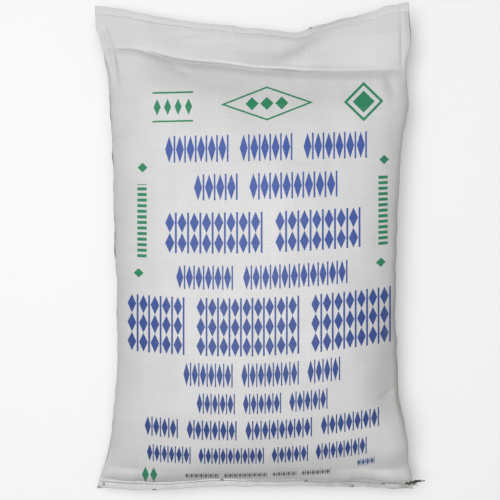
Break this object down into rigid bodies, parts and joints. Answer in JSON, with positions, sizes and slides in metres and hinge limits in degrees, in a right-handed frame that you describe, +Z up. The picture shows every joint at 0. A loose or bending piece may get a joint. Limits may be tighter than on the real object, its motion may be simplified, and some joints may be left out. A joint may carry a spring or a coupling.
{
  "type": "filled woven sack",
  "caption": "Closed woven plastic sack full of sugar, lying on its back: a tight pillow with a rolled empty flap at the mouth and sewn hems at both ends.",
  "frame": {"origin": "centre of the bounding box, on the floor the sack lies on", "axes": "+X across the sack, +Y along it towards the mouth, +Z up out of the printed face"},
  "size_m": [0.5986, 0.892, 0.19],
  "materials": {
    "woven_plastic": "woven flat plastic tape, slightly glossy, with printed ink",
    "thread": "twisted sewing thread, matte"
  },
  "bodies": {
    "root": {"sack": "woven_plastic", "mouth_stitch_front": "thread", "mouth_stitch_back": "thread", "base_stitch_front": "thread", "base_stitch_back": "thread", "thread_tuft": "thread"}
  },
  "joints": []
}
